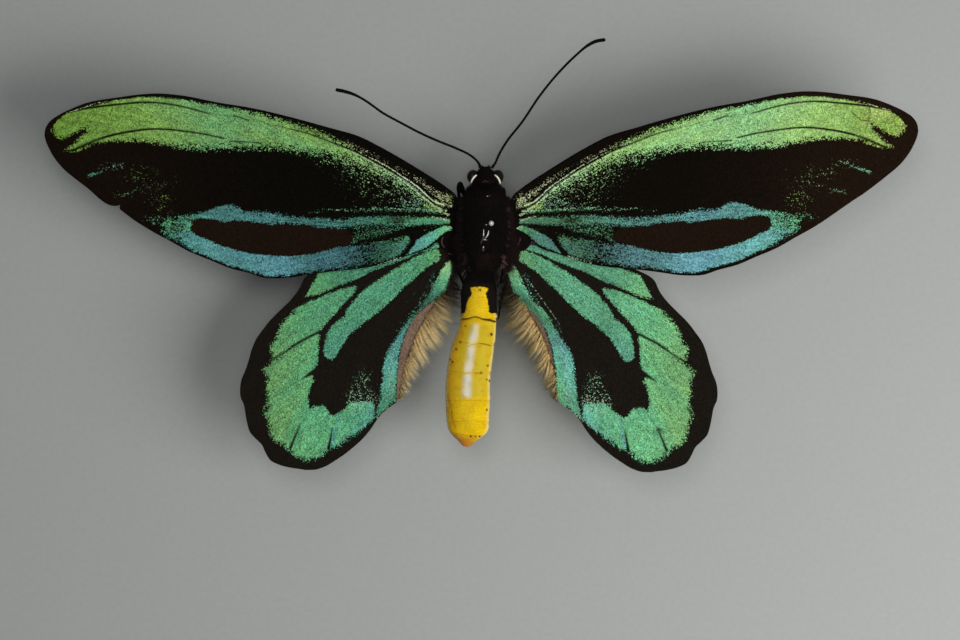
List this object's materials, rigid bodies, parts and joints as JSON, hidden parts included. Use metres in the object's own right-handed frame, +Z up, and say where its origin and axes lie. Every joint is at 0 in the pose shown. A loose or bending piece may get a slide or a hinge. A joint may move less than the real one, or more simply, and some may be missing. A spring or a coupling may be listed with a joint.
{
  "type": "pinned butterfly specimen",
  "caption": "Dried male birdwing butterfly with green, blue and black wings spread flat and a yellow abdomen, held up on an upright steel pin.",
  "frame": {"origin": "on the pin's axis, at the height where the pin enters the foam or cork that holds it", "axes": "+X to the insect's right, along the wing span; +Y forwards along its body, towards the head; +Z up along the pin, out of its back"},
  "size_m": [0.189, 0.0939, 0.0381],
  "materials": {
    "pin_steel": "polished",
    "black_velvet": "matte",
    "eye_brown": "gloss",
    "black_horn": "satin",
    "abdomen_yellow": "gloss",
    "forewing_scales": "satin",
    "hindwing_scales": "satin",
    "buff_hair": "matte"
  },
  "bodies": {
    "root": {"pin": "pin_steel", "thorax": "black_velvet", "abdomen": "abdomen_yellow", "head": "black_velvet", "eye_left": "eye_brown", "eye_right": "eye_brown", "palp_left": "black_velvet", "palp_right": "black_velvet", "proboscis": "black_horn", "antenna_left": "black_horn", "antenna_right": "black_horn", "forewing_left": "forewing_scales", "forewing_right": "forewing_scales", "hindwing_left": "hindwing_scales", "hindwing_right": "hindwing_scales", "hair_fringe_left": "buff_hair", "hair_fringe_right": "buff_hair", "foreleg_left": "black_horn", "foreleg_right": "black_horn", "midleg_left": "black_horn", "midleg_right": "black_horn", "hindleg_left": "black_horn", "hindleg_right": "black_horn"}
  },
  "joints": []
}
